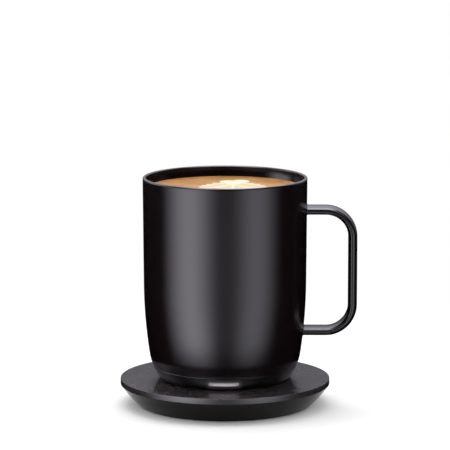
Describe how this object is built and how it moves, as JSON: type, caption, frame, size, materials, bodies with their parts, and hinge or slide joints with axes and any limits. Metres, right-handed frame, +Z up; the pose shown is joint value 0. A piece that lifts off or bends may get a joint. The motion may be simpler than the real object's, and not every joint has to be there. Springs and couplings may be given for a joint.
{
  "type": "self heating mug",
  "caption": "Double-walled mug with a heated floor, a D-shaped handle and a status light, standing on a round charging coaster with sprung contacts.",
  "frame": {"origin": "middle of the coaster's underside, on the table", "axes": "+Z up, +X towards the handle, -Y towards the status light"},
  "size_m": [0.1242, 0.11, 0.1205],
  "materials": {
    "coating": "satin black ceramic coating on stainless steel",
    "gloss_black": "polished black moulded plastic",
    "coaster_black": "semi-gloss black moulded plastic",
    "light": "milky diffuser",
    "rubber": "matt black silicone rubber",
    "gold": "gold-plated contact metal",
    "steel": "plain stainless steel",
    "board": "green solder mask on glass-epoxy board",
    "chip": "moulded epoxy",
    "tray": "moulded grey plastic",
    "cell": "laminated aluminium pouch",
    "heater": "amber polyimide film",
    "foam": "pale insulating foam",
    "lead": "red silicone insulation"
  },
  "bodies": {
    "coaster": {"coaster_top": "coaster_black", "coaster_bowl": "coaster_black", "foot_pad": "rubber", "coaster_board": "board", "lead_terminal": "chip", "cord_gland": "rubber", "coaster_screw_1": "steel", "coaster_screw_2": "steel", "coaster_screw_3": "steel", "coaster_screw_4": "steel", "pin_barrel_inner": "gold", "pin_barrel_outer": "gold", "pin_spring_inner": "steel", "pin_spring_outer": "steel"},
    "mug": {"outer_shell": "coating", "inner_liner": "coating", "handle": "coating", "base_band": "gloss_black", "base_seal": "rubber", "indicator_lens": "light", "bottom_cover": "gloss_black", "contact_ring_inner": "gold", "contact_ring_outer": "gold", "switch_dome": "steel", "tact_switch": "chip", "main_board": "board", "controller_chip": "chip", "charger_chip": "chip", "power_inductor": "tray", "indicator_led_1": "light", "indicator_led_2": "light", "indicator_led_3": "light", "led_board": "board", "battery_tray": "tray", "battery_cell_left": "cell", "battery_cell_right": "cell", "board_screw_1": "steel", "board_screw_2": "steel", "board_screw_3": "steel", "insulation_pad": "foam", "heater_film": "heater", "floor_sensor": "chip", "wall_sensor": "heater", "heater_lead_1": "lead", "heater_lead_2": "lead"},
    "power_button": {"power_button": "rubber"},
    "inner_pin": {"contact_pin_inner": "gold"},
    "outer_pin": {"contact_pin_outer": "gold"}
  },
  "joints": [
    {"name": "mug_lift", "type": "slide", "parent": "coaster", "child": "mug", "axis": [0, 0, 1], "range_m": [0, 0.1]},
    {"name": "power_button_press", "type": "slide", "parent": "mug", "child": "power_button", "axis": [0, 0, 1], "range_m": [0, 0.0005], "stiffness_N_per_m": 800, "deforming": ["switch_dome"]},
    {"name": "inner_pin_press", "type": "slide", "parent": "coaster", "child": "inner_pin", "axis": [0, 0, 1], "range_m": [-0.0008, 0], "stiffness_N_per_m": 700, "deforming": ["pin_spring_inner"]},
    {"name": "outer_pin_press", "type": "slide", "parent": "coaster", "child": "outer_pin", "axis": [0, 0, 1], "range_m": [-0.0008, 0], "stiffness_N_per_m": 700, "deforming": ["pin_spring_outer"]}
  ]
}
